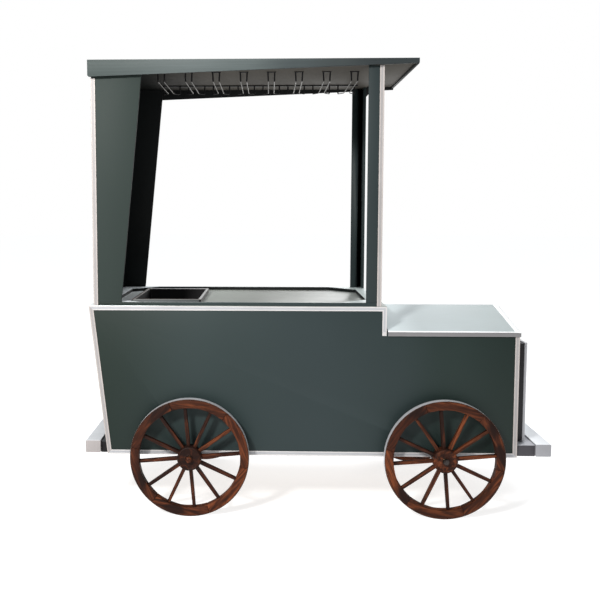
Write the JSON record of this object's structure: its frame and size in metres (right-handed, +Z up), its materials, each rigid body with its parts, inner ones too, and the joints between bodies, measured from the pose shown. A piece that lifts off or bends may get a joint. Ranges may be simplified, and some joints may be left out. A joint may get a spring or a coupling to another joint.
{
  "type": "popcorn cart",
  "caption": "Popcorn and drinks cart styled as a vintage truck: storage cabinet with hood, roofed serving counter with glass racks, wooden spoked wheels.",
  "frame": {"origin": "on the floor, under the middle of the cart between the two bumpers", "axes": "+X along the cart towards the hood, +Y towards the side with the storage doors, +Z up"},
  "size_m": [2.14, 0.972, 2.0639],
  "materials": {
    "dark_steel": "satin dark grey paint",
    "axle_steel": "plain turned bar",
    "zinc_steel": "zinc plated",
    "bumper_aluminium": "mill finish, lightly brushed",
    "deck_sheet": "satin sheet",
    "green_board": "smooth dark green paint, satin",
    "roof_paint": "smooth dark green paint, satin",
    "ceiling_paint": "matt warm grey",
    "raw_board": "bare plywood",
    "edge_aluminium": "white-silver anodised",
    "counter_stainless": "satin",
    "bin_steel": "satin, dark inside",
    "black_steel": "satin black",
    "bright_steel": "bright plated",
    "hood_stainless": "satin",
    "hinge_steel": "satin",
    "grille_aluminium": "satin anodised",
    "tyre_steel": "worn flat bar",
    "wheel_wood": "red-brown stain with scorched patches, oiled",
    "bush_bronze": "plain bearing bronze"
  },
  "bodies": {
    "cart": {"axle_fasteners": "zinc_steel", "axle_front": "axle_steel", "axle_rear": "axle_steel", "batten_frame": "raw_board", "bumper_front": "bumper_aluminium", "bumper_rear": "bumper_aluminium", "cab_edge_trims": "edge_aluminium", "cab_post_far": "green_board", "cab_post_near": "green_board", "cab_rear_board": "green_board", "cab_wing_far": "green_board", "cab_wing_near": "green_board", "cabinet_edge_trims": "edge_aluminium", "ceiling_board": "ceiling_paint", "chassis_frame": "dark_steel", "deck_plates": "deck_sheet", "door_hinges": "zinc_steel", "floor_board": "raw_board", "front_board": "green_board", "grille_core": "dark_steel", "grille_frame": "grille_aluminium", "hood_hinges": "hinge_steel", "rack_brackets": "black_steel", "rack_rails": "bright_steel", "rear_board": "green_board", "roof_board": "roof_paint", "roof_fascias": "green_board", "side_board_far": "green_board", "side_board_near": "green_board", "step_board": "green_board", "storage_shelf": "raw_board", "worktop": "counter_stainless", "worktop_corner_plates": "counter_stainless", "worktop_sills": "green_board"},
    "hood_lid": {"hood_lid": "hood_stainless"},
    "waste_bin": {"waste_bin": "bin_steel"},
    "door_rear": {"door_rear": "green_board", "door_rear_fittings": "hinge_steel"},
    "door_front": {"door_front": "green_board", "door_front_fittings": "hinge_steel"},
    "wheel_rear_near": {"wheel_rear_near_bush": "bush_bronze", "wheel_rear_near_felloes": "wheel_wood", "wheel_rear_near_hub": "wheel_wood", "wheel_rear_near_spokes": "wheel_wood", "wheel_rear_near_tyre": "tyre_steel"},
    "wheel_rear_far": {"wheel_rear_far_bush": "bush_bronze", "wheel_rear_far_felloes": "wheel_wood", "wheel_rear_far_hub": "wheel_wood", "wheel_rear_far_spokes": "wheel_wood", "wheel_rear_far_tyre": "tyre_steel"},
    "wheel_front_near": {"wheel_front_near_bush": "bush_bronze", "wheel_front_near_felloes": "wheel_wood", "wheel_front_near_hub": "wheel_wood", "wheel_front_near_spokes": "wheel_wood", "wheel_front_near_tyre": "tyre_steel"},
    "wheel_front_far": {"wheel_front_far_bush": "bush_bronze", "wheel_front_far_felloes": "wheel_wood", "wheel_front_far_hub": "wheel_wood", "wheel_front_far_spokes": "wheel_wood", "wheel_front_far_tyre": "tyre_steel"}
  },
  "joints": [
    {"name": "wheel_rear_near_spin", "type": "hinge", "parent": "cart", "child": "wheel_rear_near", "pos_m": [-0.58, -0.433, 0.272], "axis": [0, 1, 0], "continuous": true},
    {"name": "wheel_rear_far_spin", "type": "hinge", "parent": "cart", "child": "wheel_rear_far", "pos_m": [-0.58, 0.433, 0.272], "axis": [0, 1, 0], "continuous": true},
    {"name": "wheel_front_near_spin", "type": "hinge", "parent": "cart", "child": "wheel_front_near", "pos_m": [0.576, -0.433, 0.272], "axis": [0, 1, 0], "continuous": true},
    {"name": "wheel_front_far_spin", "type": "hinge", "parent": "cart", "child": "wheel_front_far", "pos_m": [0.576, 0.433, 0.272], "axis": [0, 1, 0], "continuous": true},
    {"name": "hood_lid_hinge", "type": "hinge", "parent": "cart", "child": "hood_lid", "pos_m": [0.62, 0.388, 0.822], "axis": [-1, 0, 0], "range_deg": [0, 95]},
    {"name": "door_rear_hinge", "type": "hinge", "parent": "cart", "child": "door_rear", "pos_m": [-0.271, 0.384, 0.63], "axis": [0, 0, 1], "range_deg": [0, 95]},
    {"name": "door_front_hinge", "type": "hinge", "parent": "cart", "child": "door_front", "pos_m": [0.271, 0.384, 0.63], "axis": [0, 0, -1], "range_deg": [0, 95]},
    {"name": "waste_bin_lift", "type": "slide", "parent": "cart", "child": "waste_bin", "axis": [0, 0, 1], "range_m": [0, 0.24]}
  ]
}
